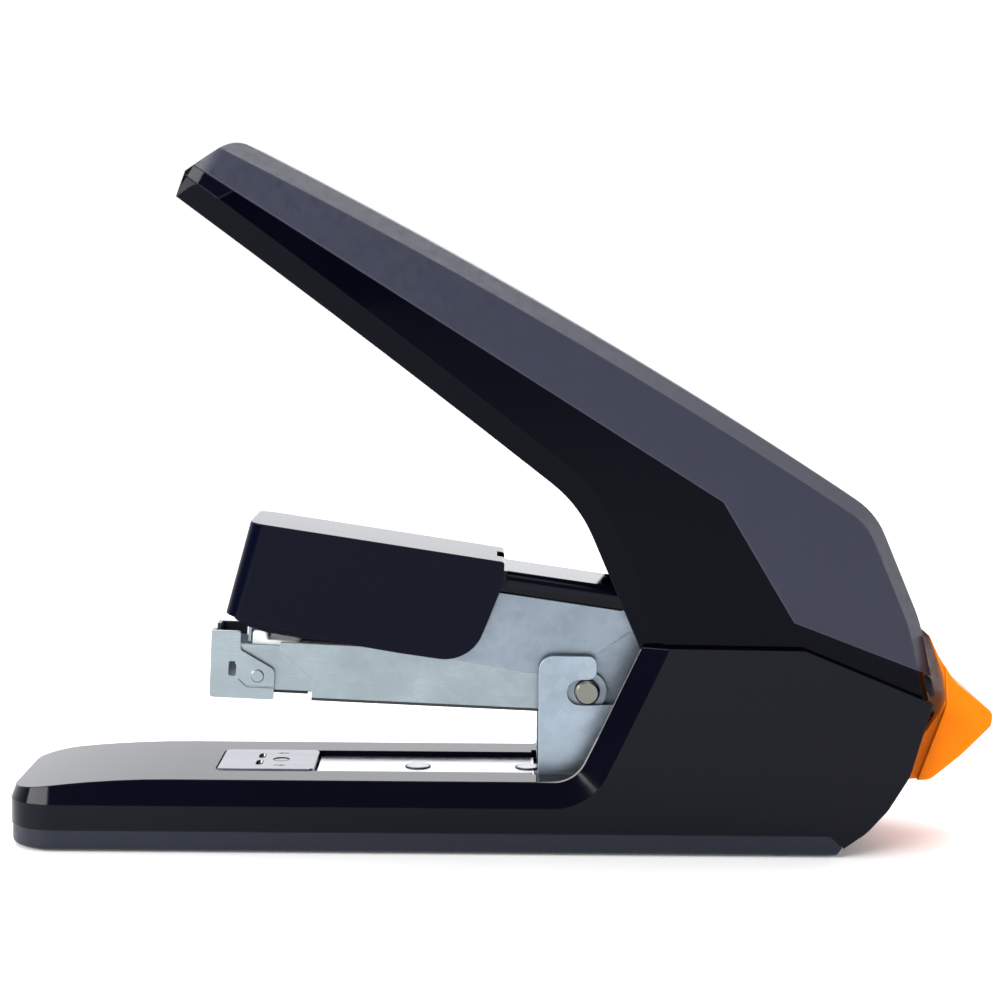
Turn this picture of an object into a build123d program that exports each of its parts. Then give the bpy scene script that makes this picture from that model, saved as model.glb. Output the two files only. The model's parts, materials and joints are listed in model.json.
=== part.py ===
"""Long reach stapler: power-assisted handle, striker arm, front-loading magazine and cast-look base.

Units are millimetres. +X runs from the nose to the rear, +Z is up, and the stapler is symmetric
about the XZ plane. The origin is under the middle of the stapler, on the surface it stands on.
The handle is modelled raised and the staple drawer popped out, as the stapler rests when released.
"""

import os
from math import atan2, cos, degrees, hypot, radians, sin, tan

from build123d import *

os.makedirs("parts", exist_ok=True)

# ---------------------------------------------------------------- driving dimensions
NOSE_X = -126.7            # foremost point of the base
HALF_WIDTH = 25.0          # widest half width, at the crease of the base
TRAY_Z = (0.6, 5.8)        # bottom tray, below the gloss housing
CREASE_Z = 12.4            # crease round the platform
PLATFORM_Z = 18.8          # top of the platform
NOSE_RADIUS = 12.0         # plan radius of the two nose corners
RECESS_HALF = 11.8         # half width of the recess that holds anvil and base plate
RECESS_Z = 15.9            # floor of the recess
WEB_Z = 14.4               # underside of the frame's web
SHEET = 1.5                # frame and base plate thickness
WALL_INNER = 22.0          # inside of the housing's side walls
HINGE_GAP = 0.08           # radial clearance of every pivot

HEAD_PIVOT = (23.0, 40.5)  # X, Z of the pin shared by striker arm and magazine
HANDLE_PIVOT = (88.0, 40.0)
LEVER_PIVOT = (103.0, 24.0)
CRANK_OFFSET = (10.75, 18.62)   # handle crank pin from the handle pivot
HORN_OFFSET = (16.0, 26.0)      # arm horn pin from the head pivot
HEAD_PIN_R = 3.2
AXLE_R = 3.0
CRANK_PIN_R = 2.5
LINK_SLACK = 0.3           # play of the drive link on the arm's horn pin

EAR_Y = (12.5, 14.0)       # frame ears, inner and outer face
ARM_Y = (9.8, 11.0)        # striker arm plates
LINK_Y = (11.5, 12.4)      # drive link plates
BRACKET_Y = (14.9, 16.4)   # handle bracket plates
HANDLE_HALF = 21.5         # handle half width
HANDLE_WALL = 2.2
HANDLE_NOSE_R = 9.0        # plan radius of the handle's nose corners
HEAD_HALF = 14.2           # head cover half width
HEAD_WALL = 1.6

MAG_SLOPE = 2.3            # degrees, nose of the magazine up
CHANNEL_Y = (7.5, 8.5)
RAIL_Y = (6.7, 7.3)
GUARD_Y = (7.3, 8.5)
CORE_HALF = 5.6
MAG_BOTTOM = -5.9          # from the head pivot, square to the magazine
MAG_TOP = 8.4
BLADE_U = -88.7            # middle of the driver blade, from the head pivot along the magazine
BLADE_THICKNESS = 0.8
BLADE_HALF = 6.25
GUARD_U = -98.5            # front face of the front guard, drawer popped out

ANVIL_X = (-73.6, -48.3)
ANVIL_TOP = 19.1
ANVIL_STUD_X = -57.7
POCKET_X = -63.1           # forming pockets, under the driver blade at full press
RIVET_X = (-21.3, 8.0)

SIDE = Plane.XZ            # side profiles: local x is X, local y is Z
MAG = Plane(
    origin=(HEAD_PIVOT[0], 0, HEAD_PIVOT[1]),
    x_dir=(cos(radians(MAG_SLOPE)), 0, -sin(radians(MAG_SLOPE))),
    z_dir=(0, -1, 0),
)                          # magazine profiles: u runs back along the magazine, v is square to it
CRANK_PIN = (HANDLE_PIVOT[0] + CRANK_OFFSET[0], HANDLE_PIVOT[1] + CRANK_OFFSET[1])
HORN_PIN = (HEAD_PIVOT[0] + HORN_OFFSET[0], HEAD_PIVOT[1] + HORN_OFFSET[1])


# ---------------------------------------------------------------- helpers
def outline(points, radii=0):
    """A closed flat outline through the points, with rounded corners."""
    with BuildSketch(Plane.XY) as flat:
        with BuildLine():
            FilletPolyline(*points, radius=radii, close=True)
        make_face()
    return flat.sketch


def disc(centre, radius):
    """A flat disc at a point of the side plane."""
    with BuildSketch(Plane.XY) as flat:
        with Locations(centre):
            Circle(radius)
    return flat.sketch


def strip(x_range, y_range):
    """A flat rectangle given by its two ranges."""
    with BuildSketch(Plane.XY) as flat:
        with Locations(((x_range[0] + x_range[1]) / 2, (y_range[0] + y_range[1]) / 2)):
            Rectangle(x_range[1] - x_range[0], y_range[1] - y_range[0])
    return flat.sketch


def cross_pin(centre, radius, half_length, chamfer_size=0.4):
    """A round pin across the stapler, centred on the symmetry plane."""
    with BuildPart() as pin:
        with BuildSketch(SIDE):
            with Locations(centre):
                Circle(radius)
        extrude(amount=half_length, both=True)
        chamfer(pin.edges().filter_by(GeomType.CIRCLE), chamfer_size)
    return pin.part


def ring_pair(centre, outer_r, inner_r, y_range, plane=SIDE):
    """Two equal rings, one each side of the symmetry plane."""
    with BuildPart() as rings:
        with BuildSketch(plane.offset(y_range[0])):
            with Locations(centre):
                Circle(outer_r)
                Circle(inner_r, mode=Mode.SUBTRACT)
        extrude(amount=y_range[1] - y_range[0])
        mirror(about=Plane.XZ)
    return rings.part


def coil(plane, radius, wire, pitch, turns):
    """A round-wire coil standing on a plane, starting just above it."""
    path = plane.offset(wire) * Helix(pitch, pitch * turns, radius)
    with BuildPart() as spring:
        with BuildSketch(Plane(origin=path @ 0, z_dir=path % 0)):
            Circle(wire / 2)
        sweep(path=path, is_frenet=True)
    return spring.part


def save(part, label):
    """Labels a finished piece and writes it as one STEP file."""
    part.label = label
    export_step(part, f"parts/{label}.step")


def on_line(start, end, x):
    """Height at x of the straight line between two points."""
    return start[1] + (end[1] - start[1]) * (x - start[0]) / (end[0] - start[0])


# ---------------------------------------------------------------- housing: platform and side walls
HOUSING_FRONT = [(36.5, 54.1), (25.5, 30.5), (19.8, PLATFORM_Z)]
HOUSING_REAR = [(110.5, 40.4), (105.2, 21.5), (99.8, 12.6), (94.5, 6.7), (88.7, 2.6)]
FACET_INSET = 2.5          # how far the upper facet leans in
FACET_DEPTH = PLATFORM_Z - CREASE_Z
NOSE_DROP = 3.4            # fall of the platform's top at the nose
NOSE_FALL_X = -84.0        # where that fall begins
WELL_X = (37.0, 97.0)      # floor of the well behind the platform
BOSS_SPOTS = [(-108, -15), (-108, 15), (28, -17.5), (28, 17.5), (82, -18), (82, 18)]
SCREW_R = 1.4

with BuildPart() as housing:
    with BuildSketch(SIDE):
        add(
            outline(
                [(NOSE_X, TRAY_Z[1]), (NOSE_X, PLATFORM_Z), HOUSING_FRONT[2], HOUSING_FRONT[1],
                 HOUSING_FRONT[0], (78.0, 53.7), *HOUSING_REAR, (85.4, TRAY_Z[1])],
                [0, 0, 9, 30, 0, 5, 0, 10, 12, 12, 0, 0],
            )
        )
    extrude(amount=HALF_WIDTH, both=True)
    fillet(housing.edges().filter_by(Axis.Z).group_by(Axis.X)[0], NOSE_RADIUS)
    # the upper facet runs round the nose, along the platform and up the walls' front edges
    near_side = housing.faces().filter_by(Axis.Y).sort_by(Axis.Y)[0]
    platform_edge = near_side.edges().filter_by(Axis.X).sort_by(Axis.Z)[-1]
    chamfer(platform_edge, FACET_DEPTH, FACET_INSET, reference=near_side)
    # well for the frame, the handle's skirt and the release lever
    with BuildSketch(SIDE):
        add(
            outline(
                [(8, PLATFORM_Z), (8, 80), (130, 80), (130, 17.5), (99.6, 17.5), (WELL_X[1], WEB_Z),
                 (WELL_X[0], WEB_Z), (WELL_X[0] - 1, PLATFORM_Z)],
                0,
            )
        )
    extrude(amount=WALL_INNER, both=True, mode=Mode.SUBTRACT)
    # recess for anvil and base plate, and the deeper seat of the frame's web
    with BuildSketch(Plane.XY.offset(RECESS_Z)):
        add(strip((ANVIL_X[0] - 0.4, 12), (-RECESS_HALF, RECESS_HALF)))
        fillet(vertices().group_by(Axis.X)[0], 2)
    extrude(amount=20, mode=Mode.SUBTRACT)
    with BuildSketch(Plane.XY.offset(WEB_Z)):
        add(strip((-31, 12), (-RECESS_HALF, RECESS_HALF)))
        add(strip((9, WELL_X[0] + 2), (-EAR_Y[1] - 0.3, EAR_Y[1] + 0.3)))
    extrude(amount=20, mode=Mode.SUBTRACT)
    with Locations((ANVIL_STUD_X, 0, RECESS_Z)):
        Hole(2.2)
    for rivet_x in RIVET_X:
        with Locations((rivet_x, 0, WEB_Z)):
            Hole(2.9)

# the platform's top falls away in one long arc towards the nose
fall_run = NOSE_FALL_X - NOSE_X
fall_radius = (fall_run**2 + NOSE_DROP**2) / (2 * NOSE_DROP)
with BuildPart(mode=Mode.PRIVATE) as nose_fall:
    with BuildSketch(SIDE):
        with BuildLine():
            Polyline(
                (NOSE_FALL_X, PLATFORM_Z), (NOSE_FALL_X, PLATFORM_Z + 10),
                (NOSE_X - 5, PLATFORM_Z + 10), (NOSE_X - 5, PLATFORM_Z - NOSE_DROP),
                (NOSE_X, PLATFORM_Z - NOSE_DROP),
            )
            RadiusArc((NOSE_X, PLATFORM_Z - NOSE_DROP), (NOSE_FALL_X, PLATFORM_Z), fall_radius)
        make_face()
    extrude(amount=HALF_WIDTH + 1, both=True)

with housing:
    add(nose_fall.part, mode=Mode.SUBTRACT)
    # hollow underside with cross ribs and screw posts, closed by the tray
    with BuildSketch(Plane.XY.offset(TRAY_Z[1])):
        for x_start, x_end in [(-117, -88), (-86, -68), (-66, -49), (-47, -12), (-10, 16), (18, 33)]:
            add(strip((x_start, x_end), (-HALF_WIDTH + 3, HALF_WIDTH - 3)))
        with Locations(*BOSS_SPOTS):
            Circle(3.6, mode=Mode.SUBTRACT)
    extrude(amount=11.8 - TRAY_Z[1], mode=Mode.SUBTRACT)
    with BuildSketch(Plane.XY.offset(TRAY_Z[1])):
        for x_start, x_end in [(35, 58), (60, 84)]:
            add(strip((x_start, x_end), (-HALF_WIDTH + 3, HALF_WIDTH - 3)))
        with Locations(*BOSS_SPOTS):
            Circle(3.6, mode=Mode.SUBTRACT)
    extrude(amount=11.8 - TRAY_Z[1], mode=Mode.SUBTRACT)
    with BuildSketch(Plane.XY.offset(TRAY_Z[1])):
        with Locations(*BOSS_SPOTS):
            Circle(SCREW_R)
    extrude(amount=5.0, mode=Mode.SUBTRACT)
    # bosses that carry the release lever's pin
    with BuildSketch(SIDE.offset(17.5)):
        add(disc(LEVER_PIVOT, 2.7))
    boss = extrude(amount=HALF_WIDTH - 17.5 - 1)
    mirror(boss, about=Plane.XZ)
    with BuildSketch(SIDE):
        add(disc(LEVER_PIVOT, 1.6))
    extrude(amount=22, both=True, mode=Mode.SUBTRACT)
save(housing.part, "housing")

# ---------------------------------------------------------------- bottom tray, feet and screws
FOOT_SPOTS = [(-98, -17), (-98, 17), (73, -18), (73, 18)]
FOOT_R = 4.5
TRAY_END = 88.3
with BuildPart() as base_tray:
    with BuildSketch(Plane.XY.offset(TRAY_Z[0])):
        add(strip((NOSE_X + 0.3, TRAY_END), (-HALF_WIDTH + 0.3, HALF_WIDTH - 0.3)))
        fillet(vertices().group_by(Axis.X)[0], NOSE_RADIUS)
    extrude(amount=TRAY_Z[1] - TRAY_Z[0])
    with BuildSketch(SIDE):
        add(outline([(NOSE_X, TRAY_Z[1]), (TRAY_END - 3.0, TRAY_Z[1]), (TRAY_END, 2.8),
                     (TRAY_END - 1.4, TRAY_Z[0]), (NOSE_X, TRAY_Z[0])], 0))
    extrude(amount=HALF_WIDTH, both=True, mode=Mode.INTERSECT)
    fillet(base_tray.faces().sort_by(Axis.Z)[0].edges().group_by(Axis.X)[:-1], 1.0)
    with BuildSketch(Plane.XY.offset(TRAY_Z[0] + 1.6)):
        add(strip((NOSE_X + 9, 82), (-HALF_WIDTH + 2.6, HALF_WIDTH - 2.6)))
        with Locations(*BOSS_SPOTS):
            Circle(4.4, mode=Mode.SUBTRACT)
    extrude(amount=10, mode=Mode.SUBTRACT)
    with BuildSketch(Plane.XY.offset(TRAY_Z[0])):
        with Locations(*BOSS_SPOTS):
            Circle(SCREW_R + 0.2)
    extrude(amount=10, mode=Mode.SUBTRACT)
    with BuildSketch(Plane.XY.offset(TRAY_Z[0])):
        with Locations(*BOSS_SPOTS):
            Circle(2.9)
        with Locations(*FOOT_SPOTS):
            Circle(FOOT_R)
    extrude(amount=0.9, mode=Mode.SUBTRACT)
save(base_tray.part, "base_tray")

with BuildPart() as rubber_feet:
    with BuildSketch(Plane.XY):
        with Locations(*FOOT_SPOTS):
            Circle(FOOT_R)
    extrude(amount=TRAY_Z[0] + 0.9)
    chamfer(rubber_feet.faces().group_by(Axis.Z)[0].edges(), 0.4)
save(rubber_feet.part, "rubber_feet")

with BuildPart() as housing_screws:
    with BuildSketch(Plane.XY.offset(TRAY_Z[0] + 0.15)):
        with Locations(*BOSS_SPOTS):
            Circle(2.6)
    extrude(amount=0.75)
    with BuildSketch(Plane.XY.offset(TRAY_Z[0] + 0.2)):
        with Locations(*BOSS_SPOTS):
            Circle(SCREW_R - 0.05)
    extrude(amount=9.2)
    with BuildSketch(Plane.XY.offset(TRAY_Z[0] + 0.15)):
        with Locations(*BOSS_SPOTS):
            Rectangle(2.8, 0.6)
            Rectangle(0.6, 2.8)
    extrude(amount=0.5, mode=Mode.SUBTRACT)
save(housing_screws.part, "housing_screws")

# ---------------------------------------------------------------- base plate, frame and its pins
with BuildPart() as base_plate:
    with BuildSketch(Plane.XY.offset(RECESS_Z)):
        add(strip((ANVIL_X[1] + 0.5, 9.6), (-RECESS_HALF + 0.3, RECESS_HALF - 0.3)))
        for rivet_x in RIVET_X:
            with Locations((rivet_x, 0)):
                Circle(1.75, mode=Mode.SUBTRACT)
    extrude(amount=SHEET)
    fillet(base_plate.edges().filter_by(Axis.Z).group_by(Axis.X)[0], 1.2)
save(base_plate.part, "base_plate")

# front ears hold the head pin in jaws that open to the rear; rear ears carry the handle's axle
FRONT_EAR = [(10.4, WEB_Z), (10.4, 50.0), (25.4, 50.0), (25.4, HEAD_PIVOT[1] + HEAD_PIN_R + 0.12),
             (17.8, HEAD_PIVOT[1] + HEAD_PIN_R + 0.12), (17.8, HEAD_PIVOT[1] - HEAD_PIN_R - 0.12),
             (31.5, HEAD_PIVOT[1] - HEAD_PIN_R - 0.12), (34.5, 22.0), (96.0, 22.0), (96.0, WEB_Z)]
REAR_EAR = [(78.5, WEB_Z), (80.5, 47.5), (95.5, 47.5), (97.0, WEB_Z)]
with BuildPart() as frame_bracket:
    with BuildSketch(Plane.XY.offset(WEB_Z)):
        add(strip((-30.5, 12), (-RECESS_HALF + 0.4, RECESS_HALF - 0.4)))
        add(strip((10.4, 96), (-EAR_Y[1], EAR_Y[1])))
        for rivet_x in RIVET_X:
            with Locations((rivet_x, 0)):
                Circle(1.75, mode=Mode.SUBTRACT)
    extrude(amount=SHEET)
    with BuildSketch(SIDE.offset(EAR_Y[0])):
        add(outline(FRONT_EAR, [0, 3.8, 2.2, 2.4, 3.2, 3.2, 1.5, 4, 0, 0]))
        add(outline(REAR_EAR, [0, 5, 5, 0]))
        add(disc(HANDLE_PIVOT, AXLE_R + HINGE_GAP), mode=Mode.SUBTRACT)
    ears = extrude(amount=EAR_Y[1] - EAR_Y[0])
    mirror(ears, about=Plane.XZ)
save(frame_bracket.part, "frame_bracket")

RIVET_HEAD = 0.4
with BuildPart() as base_rivets:
    for rivet_x in RIVET_X:
        with BuildSketch(Plane.XY.offset(RECESS_Z + SHEET)):
            with Locations((rivet_x, 0)):
                Circle(3.0)
        extrude(amount=RIVET_HEAD)
        fillet(base_rivets.faces().group_by(Axis.Z)[-1].edges().group_by(Axis.X)[-1], 0.2)
        with BuildSketch(Plane.XY.offset(WEB_Z - 1.1)):
            with Locations((rivet_x, 0)):
                Circle(1.7)
        extrude(amount=1.1 + 2 * SHEET + 0.2)
        with BuildSketch(Plane.XY.offset(WEB_Z - 1.1)):
            with Locations((rivet_x, 0)):
                Circle(2.8)
        extrude(amount=1.1)
save(base_rivets.part, "base_rivets")

save(cross_pin(HEAD_PIVOT, HEAD_PIN_R, 15.0, 0.5), "head_pivot_pin")
save(ring_pair(HEAD_PIVOT, 5.2, HEAD_PIN_R + HINGE_GAP, (ARM_Y[1] + 0.1, EAR_Y[0] - 0.1)), "pivot_spacers")

with BuildPart() as handle_axle:
    add(cross_pin(HANDLE_PIVOT, AXLE_R, 18.8, 0.4))
    with BuildSketch(SIDE.offset(17.2)):
        add(disc(HANDLE_PIVOT, AXLE_R + 1))
        add(disc(HANDLE_PIVOT, AXLE_R - 0.5), mode=Mode.SUBTRACT)
    groove = extrude(amount=0.7, mode=Mode.SUBTRACT)
    mirror(groove, about=Plane.XZ, mode=Mode.SUBTRACT)
save(handle_axle.part, "handle_axle")

with BuildPart() as axle_clips:
    with BuildSketch(SIDE.offset(17.25)):
        add(disc(HANDLE_PIVOT, AXLE_R + 2.2))
        add(disc(HANDLE_PIVOT, AXLE_R - 0.48), mode=Mode.SUBTRACT)
        add(strip((HANDLE_PIVOT[0] - 1.8, HANDLE_PIVOT[0] + 1.8), (HANDLE_PIVOT[1] - 6, HANDLE_PIVOT[1])),
            mode=Mode.SUBTRACT)
    extrude(amount=0.6)
    mirror(about=Plane.XZ)
save(axle_clips.part, "axle_clips")

# torsion spring that lifts the handle, wound round a sleeve on the axle
with BuildPart() as axle_sleeve:
    with BuildSketch(SIDE):
        add(disc(HANDLE_PIVOT, AXLE_R + 1.2))
        add(disc(HANDLE_PIVOT, AXLE_R + 0.05), mode=Mode.SUBTRACT)
    extrude(amount=EAR_Y[0] - 0.1, both=True)
save(axle_sleeve.part, "axle_sleeve")

spring_start = Plane(origin=(HANDLE_PIVOT[0], 9.0, HANDLE_PIVOT[1]), z_dir=(0, -1, 0))
save(coil(spring_start, 6.0, 1.5, 1.9, 8), "handle_spring")

# ---------------------------------------------------------------- anvil
with BuildPart() as anvil_plate:
    with BuildSketch(Plane.XY.offset(RECESS_Z)):
        add(strip(ANVIL_X, (-RECESS_HALF + 0.4, RECESS_HALF - 0.4)))
        fillet(vertices(), 1.6)
    extrude(amount=ANVIL_TOP - RECESS_Z)
    chamfer(anvil_plate.faces().sort_by(Axis.Z)[-1].edges(), 0.3)
    # forming pockets that close the staple's two legs
    for side in (-1, 1):
        with BuildSketch(Plane.XY.offset(ANVIL_TOP)):
            with Locations((POCKET_X, side * 3.9)):
                SlotOverall(5.4, 1.9, rotation=90)
        extrude(amount=-0.9, taper=20, mode=Mode.SUBTRACT)
    with Locations((ANVIL_STUD_X, 0, RECESS_Z)):
        Hole(2.15)
save(anvil_plate.part, "anvil_plate")

STUD_BOTTOM = 2.6
with BuildPart() as anvil_stud:
    with BuildSketch(Plane.XY.offset(STUD_BOTTOM)):
        with Locations((ANVIL_STUD_X, 0)):
            Circle(2.0)
    extrude(amount=ANVIL_TOP - 0.15 - STUD_BOTTOM)
    with BuildSketch(Plane.XY.offset(RECESS_Z)):
        with Locations((ANVIL_STUD_X, 0)):
            Circle(2.13)
    extrude(amount=ANVIL_TOP - 0.15 - RECESS_Z)
    with BuildSketch(Plane.XY.offset(STUD_BOTTOM + 0.6)):
        with Locations((ANVIL_STUD_X, 0)):
            Circle(2.6)
            Circle(1.5, mode=Mode.SUBTRACT)
    extrude(amount=0.7, mode=Mode.SUBTRACT)
save(anvil_stud.part, "anvil_stud")

with BuildPart() as anvil_retainer:
    with BuildSketch(Plane.XY.offset(STUD_BOTTOM + 0.65)):
        with Locations((ANVIL_STUD_X, 0)):
            Circle(4.2)
            Circle(1.52, mode=Mode.SUBTRACT)
        add(strip((ANVIL_STUD_X, ANVIL_STUD_X + 5), (-1.2, 1.2)), mode=Mode.SUBTRACT)
    extrude(amount=0.6)
save(anvil_retainer.part, "anvil_retainer")

anvil_spring_base = Plane.XY.offset(STUD_BOTTOM + 1.0).shift_origin((ANVIL_STUD_X, 0, STUD_BOTTOM + 1.0))
save(coil(anvil_spring_base, 3.1, 0.6, 1.4, 5), "anvil_spring")

# ---------------------------------------------------------------- handle
HANDLE_TOP = [(-66.8, 181.4), (12.5, 139.4), (96.2, 88.3)]     # crown, mid point and rear shoulder
HANDLE_UNDER = [(-81.6, 167.0), (-25.4, 125.2), (20.1, 90.1)]  # nose tip, mid point, throat corner
CROWN_RADIUS = 6.0


def handle_body(inset):
    """The handle's outer form with a sharp crown, or with an inset the hollow inside it, open below."""
    top, under = HANDLE_TOP, HANDLE_UNDER
    with BuildPart() as form:
        with BuildSketch(SIDE) as profile:
            with BuildLine():
                ThreePointArc(*top)
                FilletPolyline(
                    top[2], (108.2, 60.4), (112.6, 41.0), (97, 31.8), (88, 29.6), (60, 33), (41.5, 41),
                    under[2], radius=[40, 0, 4, 6, 20, 0],
                )
                ThreePointArc(under[2], under[1], under[0])
                Polyline(under[0], (-79.4, 173.4), top[0])
            make_face()
            fillet(profile.vertices().sort_by_distance(Vector(*top[2]))[0], 20)
            fillet(profile.vertices().sort_by_distance(Vector(*under[2]))[0], 34)
            if inset:
                fillet(profile.vertices().sort_by_distance(Vector(*top[0]))[0], CROWN_RADIUS + 1)
                offset(amount=-inset)
        extrude(amount=HANDLE_HALF - inset, both=True)
    return form.part


# the handle tapers to a rounded nose seen square to its top
HANDLE_TILT = degrees(atan2(HANDLE_TOP[0][1] - HANDLE_TOP[2][1], HANDLE_TOP[2][0] - HANDLE_TOP[0][0]))
HANDLE_DECK = Plane(
    origin=(HANDLE_UNDER[0][0], 0, HANDLE_UNDER[0][1]),
    x_dir=(cos(radians(HANDLE_TILT)), 0, -sin(radians(HANDLE_TILT))),
    z_dir=(sin(radians(HANDLE_TILT)), 0, cos(radians(HANDLE_TILT))),
)


def deck_slab(inset):
    """A deep slab with the handle's plan outline: round nose corners, straight sides."""
    with BuildPart() as slab:
        with BuildSketch(HANDLE_DECK) as plan:
            add(strip((-4.3 + inset, 260), (-HANDLE_HALF + inset, HANDLE_HALF - inset)))
            fillet(plan.vertices().group_by(Axis.X)[0], HANDLE_NOSE_R - inset)
        extrude(amount=160, both=True)
    return slab.part


SHOULDER = (3.8, 5.5)      # drop and width of the bevel along the handle's top
INNER_SHOULDER = (2.75, 3.98)   # the same bevel inside, one wall thickness in
LOWER_FACET = (6.0, 1.2)   # depth and inset of the bevel along the handle's lower edge
with BuildPart(mode=Mode.PRIVATE) as handle_form:
    add(handle_body(0))
    for side in (0, -1):
        face = handle_form.faces().filter_by(Axis.Y).sort_by(Axis.Y)[side]
        long_top = face.edges().sort_by(Edge.length)[-1]
        chamfer(long_top, SHOULDER[0], SHOULDER[1], reference=face)
        face = handle_form.faces().filter_by(Axis.Y).sort_by(Axis.Y)[side]
        throat = face.edges().sort_by(Edge.length)[-2]
        chamfer(throat, LOWER_FACET[0], LOWER_FACET[1], reference=face)
    # the two bevels end at the crown, which is rounded between them
    crown_edge = [
        e for e in handle_form.edges().filter_by(Axis.Y)
        if (e.center() - Vector(HANDLE_TOP[0][0], 0, HANDLE_TOP[0][1])).length < 1
    ]
    fillet(crown_edge, CROWN_RADIUS)
    add(deck_slab(0), mode=Mode.INTERSECT)
with BuildPart(mode=Mode.PRIVATE) as handle_hollow:
    add(handle_body(HANDLE_WALL))
    for side in (0, -1):
        face = handle_hollow.faces().filter_by(Axis.Y).sort_by(Axis.Y)[side]
        long_top = face.edges().sort_by(Edge.length)[-1]
        chamfer(long_top, INNER_SHOULDER[0], INNER_SHOULDER[1], reference=face)
    with BuildSketch(SIDE):
        add(
            outline(
                [(-77.0, 160.0), (-77.0, 168.0), (20.0, 105.0), (70.0, 60.0), (111.6, 46.0),
                 (111.6, 20.0), (-77.0, 20.0)],
                0,
            )
        )
    extrude(amount=HANDLE_HALF - HANDLE_WALL, both=True)
    add(deck_slab(HANDLE_WALL), mode=Mode.INTERSECT)

# parting line between the matte cover and the gloss skirt, and the small nose cap below it
PARTING = [(-76.4, 174.4), (56.6, 91.2), (75.2, 60.4), (108.9, 47.6), (112.0, 40.0)]
with BuildPart(mode=Mode.PRIVATE) as above_parting:
    with BuildSketch(SIDE):
        add(outline([*PARTING, (125, 40), (125, 200), (-95, 200), (-95, 186)], 0))
    extrude(amount=HANDLE_HALF + 2, both=True)
NOSE_CAP = [(-79.8, 172.7), (-75.0, 169.3), (-71.0, 166.4), (-66.9, 168.5), (-76.4, 174.4), (-86, 182)]
with BuildPart(mode=Mode.PRIVATE) as nose_cap_region:
    with BuildSketch(SIDE):
        add(outline(NOSE_CAP, [0, 0, 1.0, 0, 0, 0]))
    extrude(amount=HANDLE_HALF + 2, both=True)

BRACKET_SCREWS_X = (54.0, 80.0)
BRACKET_FRONT = (45.5, 111.5)   # upper front corner of the bracket, under the cover's screw bosses


def boss_plane(x, depth=0):
    """Seat of a cover boss on the bracket's web, or a plane that far below it."""
    run = (x - BRACKET_FRONT[0]) / cos(radians(HANDLE_TILT))
    seat = HANDLE_DECK.x_dir * run + HANDLE_DECK.z_dir * (0.05 - depth)
    origin = Vector(BRACKET_FRONT[0], 0, BRACKET_FRONT[1]) + seat
    return Plane(origin=origin, x_dir=(0, 1, 0), z_dir=HANDLE_DECK.z_dir)


with BuildPart() as handle_cover:
    add(handle_form.part)
    add(handle_hollow.part, mode=Mode.SUBTRACT)
    add(above_parting.part, mode=Mode.INTERSECT)
    for screw_x in BRACKET_SCREWS_X:
        with BuildSketch(boss_plane(screw_x)):
            Circle(4.2)
        extrude(until=Until.NEXT)
        with BuildSketch(boss_plane(screw_x)):
            Circle(1.4)
        extrude(amount=2.4, mode=Mode.SUBTRACT)
save(handle_cover.part, "handle_cover")

SKIRT_RIBS = [((-62.0, 154.5), 8.5), ((-25.0, 127.0), 12.0), ((0.0, 117.0), 7.0)]   # foot, height
with BuildPart() as handle_skirt:
    add(handle_form.part)
    add(handle_hollow.part, mode=Mode.SUBTRACT)
    add(above_parting.part, mode=Mode.SUBTRACT)
    add(nose_cap_region.part, mode=Mode.SUBTRACT)
    # cross ribs tie the two side walls together inside the hollow
    for foot, height in SKIRT_RIBS:
        top = Vector(*foot) + Vector(HANDLE_DECK.z_dir.X, HANDLE_DECK.z_dir.Z) * height
        with BuildSketch(SIDE):
            add(outline([foot, (foot[0] + 1.8, foot[1]), (top.X + 1.8, top.Y), (top.X, top.Y)], 0))
        extrude(amount=HANDLE_HALF - HANDLE_WALL + 0.2, both=True)
save(handle_skirt.part, "handle_skirt")

with BuildPart() as handle_nose_cap:
    add(handle_form.part)
    add(handle_hollow.part, mode=Mode.SUBTRACT)
    add(above_parting.part, mode=Mode.SUBTRACT)
    add(nose_cap_region.part, mode=Mode.INTERSECT)
save(handle_nose_cap.part, "handle_nose_cap")

# steel bracket inside the handle: two cheeks on the axle, tied by a web under the cover
BRACKET_REAR_TOP = (89.0, BRACKET_FRONT[1] - (89.0 - BRACKET_FRONT[0]) * tan(radians(HANDLE_TILT)))
BRACKET = [(81.0, 34.0), (94.5, 34.0), (105.0, 57.0), (101.0, 66.0), BRACKET_REAR_TOP, BRACKET_FRONT,
           (44.5, 104.0), (66.0, 84.0), (80.0, 52.0)]
BRACKET_WEB = 1.6
with BuildPart() as handle_bracket:
    with BuildSketch(SIDE.offset(BRACKET_Y[0])):
        add(outline(BRACKET, [6, 6, 6, 8, 3, 2, 3, 12, 10]))
        add(disc(HANDLE_PIVOT, AXLE_R + HINGE_GAP), mode=Mode.SUBTRACT)
        add(disc(CRANK_PIN, CRANK_PIN_R + 0.02), mode=Mode.SUBTRACT)
    cheeks = extrude(amount=BRACKET_Y[1] - BRACKET_Y[0])
    mirror(cheeks, about=Plane.XZ)
    with BuildSketch(boss_plane((BRACKET_FRONT[0] + BRACKET_REAR_TOP[0]) / 2, 0.05)):
        Rectangle(2 * BRACKET_Y[0] + 0.4, 46.0)
    extrude(amount=-BRACKET_WEB)
    for screw_x in BRACKET_SCREWS_X:
        with BuildSketch(boss_plane(screw_x, BRACKET_WEB + 1)):
            Circle(1.6)
        extrude(amount=BRACKET_WEB + 2, mode=Mode.SUBTRACT)
save(handle_bracket.part, "handle_bracket")

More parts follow.
